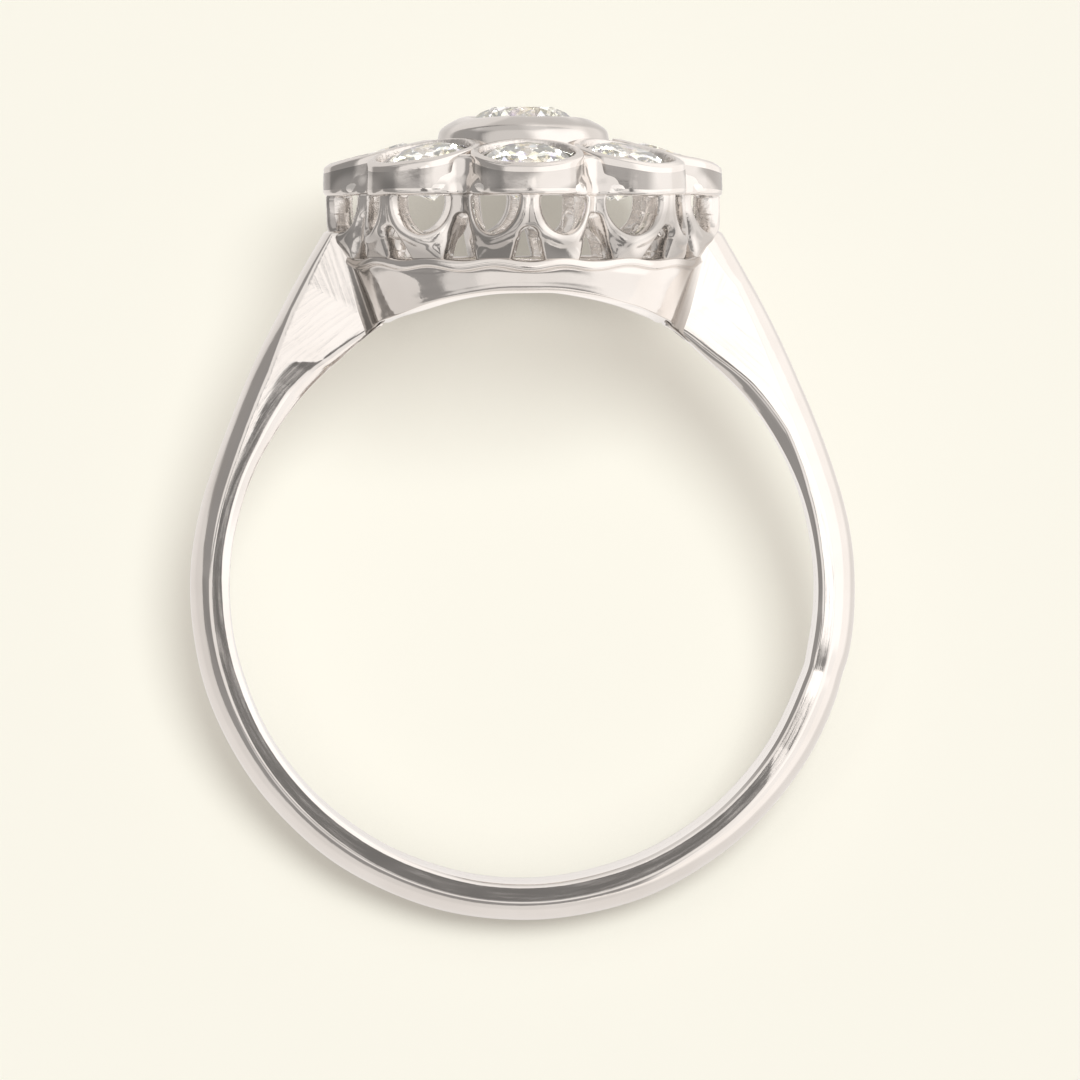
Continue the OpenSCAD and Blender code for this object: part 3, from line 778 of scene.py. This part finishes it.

# Stones. Nine round brilliant diamonds, one in the centre and eight around, each held by the rubbed-over rim
# of its collet and kept as the CAD cuts it. They are colourless with a faint warm body; their fire is painted
# on as small cells of spectral tint, and a faint glow in those tints is painted sparkle.
diamond = bpy.data.materials.new("diamond")
diamond.use_nodes = True
tree = diamond.node_tree
shader = tree.nodes["Principled BSDF"]
shader.inputs["Transmission Weight"].default_value = 1
shader.inputs["IOR"].default_value = 2.42
spot = wire(tree, "ShaderNodeTexCoord").outputs["Object"]
fire = wire(tree, "ShaderNodeTexVoronoi", Vector=spot, Scale=4200.0)
# Painted fire: cells of spectral tint in the stones' colour and glow.
painted_fire = ramped(tree, fire.outputs["Color"], (
    (0.0, (1, 1, 1)), (0.2, (1, 0.97, 0.86)), (0.38, (0.98, 1, 1)), (0.5, (1, 0.93, 0.66)),
    (0.6, (1, 1, 0.98)), (0.72, (0.86, 0.8, 1)), (0.78, (0.97, 1, 0.94)), (0.87, (0.72, 0.86, 1)),
    (0.92, (1, 1, 1)), (1.0, (1, 1, 1))), bands=True)
sparkle = wire(tree, "ShaderNodeTexVoronoi", Vector=spot, Scale=6500.0)
# Painted sparkle: a faint glow that varies by small cells.
painted_sparkle = stepped(tree, sparkle.outputs["Color"], 0.2, 0.9, 0.02, 0.08, smooth=False)
wipe = stepped(tree, noise(tree, spot, 3000.0), 0.0, 1.0, 0.0, 0.03, smooth=False)
for key, value in (("Base Color", painted_fire), ("Emission Color", painted_fire), ("Emission Strength", painted_sparkle),
                   ("Roughness", wipe)):
    tree.links.new(value, shader.inputs[key])
for name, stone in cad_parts.items():
    if "stone" in name:
        stone.data.materials.clear()
        stone.data.materials.append(diamond)

# Floor. A plain matt sheet of cream paper that the ring lies on. The lamp casts a soft shadow on it, and its
# even glow is dimmed close to the metal by ambient occlusion as a painted shadow. What the polished metal
# mirrors of it is a painted reflection, set apart: lighter inside the finger hole and to the right, with
# painted shade close to the metal and in the far left corner.
sheet_half_w = 2.0
cream = (0.956, 0.922, 0.823)
mesh = bpy.data.meshes.new("floor")
mesh.from_pydata([(x * sheet_half_w, y * sheet_half_w, 0) for x, y in ((-1, -1), (1, -1), (1, 1), (-1, 1))],
                 [], [(0, 1, 2, 3)])
floor = bpy.data.objects.new("floor", mesh)
bpy.context.scene.collection.objects.link(floor)
paper = bpy.data.materials.new("paper")
paper.use_nodes = True
tree = paper.node_tree
shader = tree.nodes["Principled BSDF"]
shader.inputs["Roughness"].default_value = 1.0
shader.inputs["Specular IOR Level"].default_value = 0.0
shader.inputs["Base Color"].default_value = (0.5 * cream[0], 0.5 * cream[1], 0.5 * cream[2], 1)
shader.inputs["Emission Color"].default_value = (1.01 * cream[0], 0.985 * cream[1], 0.975 * cream[2], 1)
# Painted shadow: the paper's even glow is dimmed near the metal by ambient occlusion.
near_metal = wire(tree, "ShaderNodeAmbientOcclusion", Distance=0.0032)
near_metal.samples = 8
clear = near_metal.outputs["AO"]
glow_with_painted_shadow = stepped(tree, clear, 0.42, 0.82, 0.31, 0.562, smooth=False)
tree.links.new(glow_with_painted_shadow, shader.inputs["Emission Strength"])

# Painted reflection: the tones glossy rays see on the paper, with painted shade near the metal and in the far
# left corner.
spot = wire(tree, "ShaderNodeTexCoord").outputs["Object"]
away = reckoned(tree, "DISTANCE", spot, (0, 0.001 * slide, 0), kind="ShaderNodeVectorMath")
apart = wire(tree, "ShaderNodeSeparateXYZ", Vector=spot).outputs
painted_dark_corner = reckoned(tree, "MULTIPLY", stepped(tree, apart["X"], -0.013, -0.018),
                       stepped(tree, apart["Y"], 0.003, 0.007))
left_tone = stepped(tree, painted_dark_corner, 0.0, 1.0, 1.0, 0.42)
far_tone = stepped(tree, apart["X"], 0.006, 0.013, left_tone, 1.45)
ring_tone = stepped(tree, away, 0.0135, 0.018, 1.1, far_tone)
tone = stepped(tree, away, 0.0065, 0.0085, 1.4, ring_tone)
painted_reflected_shade = stepped(tree, clear, 0.1, 0.68, 0.55, 1.0)
mirrored = wire(tree, "ShaderNodeEmission", Color=(0.80, 0.765, 0.735, 1),
                Strength=reckoned(tree, "MULTIPLY", painted_reflected_shade, tone))


def either(tree, share, first, second):
    """The first shader, and the second where the share is 1."""
    mix = wire(tree, "ShaderNodeMixShader", Fac=share)
    tree.links.new(first, mix.inputs[1])
    tree.links.new(second, mix.inputs[2])
    return mix.outputs["Shader"]


path = wire(tree, "ShaderNodeLightPath").outputs
tree.links.new(either(tree, path["Is Glossy Ray"], shader.outputs["BSDF"], mirrored.outputs["Emission"]),
               tree.nodes["Material Output"].inputs["Surface"])
mesh.materials.append(paper)

# Light. A big soft lamp at the upper right, and the room round it: white overhead and to the
# right, darker low down on the left and in front, with the gap where the camera stands.
bpy.context.scene.view_settings.view_transform = "Standard"
lamp = bpy.data.lights.new("lamp", "SUN")
lamp.energy, lamp.angle, lamp.color = 2.45, np.radians(28), (0.94, 0.992, 1.0)
lamp_object = bpy.data.objects.new("lamp", lamp)
bpy.context.scene.collection.objects.link(lamp_object)
lamp_object.rotation_mode = "QUATERNION"
lamp_way = Vector((0.25, 0.15, 1.0))
lamp_object.rotation_quaternion = lamp_way.to_track_quat("Z", "Y")
lamp_object.visible_glossy = False

room = bpy.data.worlds.new("room")
bpy.context.scene.world = room
room.use_nodes = True
tree = room.node_tree
tree.nodes.clear()
aim = wire(tree, "ShaderNodeTexCoord").outputs["Generated"]
ring_y = np.array([0, np.cos(lie), np.sin(lie)])
ring_z = np.array([0, -np.sin(lie), np.cos(lie)])


def facing(toward):
    """The cosine between the looked-at direction and toward, which is given in the ring's frame."""
    toward = toward[0] * np.array([1, 0, 0]) + toward[1] * ring_y + toward[2] * ring_z
    return reckoned(tree, "DOT_PRODUCT", aim, toward / np.linalg.norm(toward), kind="ShaderNodeVectorMath")


def towards(light, share, strength):
    """The light drawn towards the strength given where share is 1."""
    return mixed(tree, share, light, strength, data_type="FLOAT")


def panelled(light, *panels):
    """The light with soft round panels of (direction, near, far, strength): each is full within near degrees
    of its direction, and gone at far."""
    for toward, near, far, strength in panels:
        share = stepped(tree, facing(toward), np.cos(np.radians(far)), np.cos(np.radians(near)))
        light = towards(light, share, strength)
    return light


# The dim walls, the lighter side beyond the head, the ceiling, and the white side at the right.
glow = panelled(0.33, ((0.0, 1.0, 0.25), 30, 60, 0.75), ((0.0, 0.0, 1.0), 48, 62, 0.95),
                ((1.0, 0.25, 0.5), 40, 62, 1.3))
# A dim band on the left, which leans back over the ring, and two lighter patches low behind.
band = stepped(tree, reckoned(tree, "ABSOLUTE", facing((0, 1.0, 0.5))), 0.1, 0.05)
on_left = stepped(tree, facing((1, 0, 0)), 0.2, 0.08)
glow = towards(glow, reckoned(tree, "MULTIPLY", band, on_left), 0.3)
glow = panelled(glow, ((-0.55, -0.6, 0.6), 8, 15, 0.75), ((0.76, -0.64, 0.22), 20, 29, 1.1))
# A thin dim line from overhead to the left, level with the finger hole's middle.
level = facing((0, 1, 0))
strip = reckoned(tree, "MULTIPLY", stepped(tree, level, -0.02, -0.005), stepped(tree, level, 0.06, 0.015))
on_left = stepped(tree, facing((1, 0, 0)), 0.12, 0.05)
glow = towards(glow, reckoned(tree, "MULTIPLY", strip, on_left), 0.36)
# Straight overhead: two bright patches that the flats mirror, and the dark of the camera.
glow = panelled(glow, ((0.03, -0.02, 1.0), 6, 8.5, 1.19), ((0.16, 0.0, 1.0), 4, 6, 1.45),
                ((0.02, -0.27, 1.0), 5, 7, 0.25), ((0.0125, -0.124, 1.0), 5.2, 5.9, 0.2))
flash = ramped(tree, noise(tree, aim, 9.0), (
    (0.3, (0.3, 0.3, 0.29)), (0.38, (0.62, 0.62, 0.6)), (0.47, (0.95, 0.95, 0.78)),
    (0.52, (0.98, 0.98, 0.95)), (0.58, (0.8, 0.78, 1.0)), (0.62, (1.0, 1.0, 1.0)), (0.72, (1.0, 1.0, 1.0))))


def backdrop(colour, strength=1.0):
    """An even background of the colour and strength."""
    return wire(tree, "ShaderNodeBackground", Color=colour, Strength=strength).outputs["Background"]


# The metal mirrors the room, the stones are crossed by small flashes, the floor is lit only
# faintly by the room, and the camera sees paper everywhere.
path = wire(tree, "ShaderNodeLightPath").outputs
view = backdrop(shaded(tree, glow, (1.0, 0.965, 0.935), 1.0))
view = either(tree, path["Is Transmission Ray"], view, backdrop(flash, 1.3))
view = either(tree, path["Is Diffuse Ray"], view, backdrop((1, 0.97, 0.93, 1), 0.15))
view = either(tree, path["Is Camera Ray"], view, backdrop((*cream, 1)))
wire(tree, "ShaderNodeOutputWorld", Surface=view)

# Camera. It stands high over the finger hole and a little towards the head, as it did for
# the photo, so that the ring is seen along the finger.
shown_w = 0.0313  # metres across the picture, at the ring
camera = bpy.data.cameras.new("camera")
camera.sensor_width = 36
camera_object = bpy.data.objects.new("camera", camera)
bpy.context.scene.collection.objects.link(camera_object)
eye = Vector(laid(-6.5, 11.4, 200.0))
target = Vector(laid(0.49, 1.41, 0.0))
back = (eye - target).normalized()
up = Vector(ring_y)
right = up.cross(back).normalized()
turn = Matrix((right, back.cross(right), back)).transposed()
camera_object.location = eye
camera_object.rotation_mode = "QUATERNION"
camera_object.rotation_quaternion = turn.to_quaternion()
camera.lens = camera.sensor_width * (eye - target).length / shown_w
camera.clip_start, camera.clip_end = 0.01, 10
bpy.context.scene.camera = camera_object
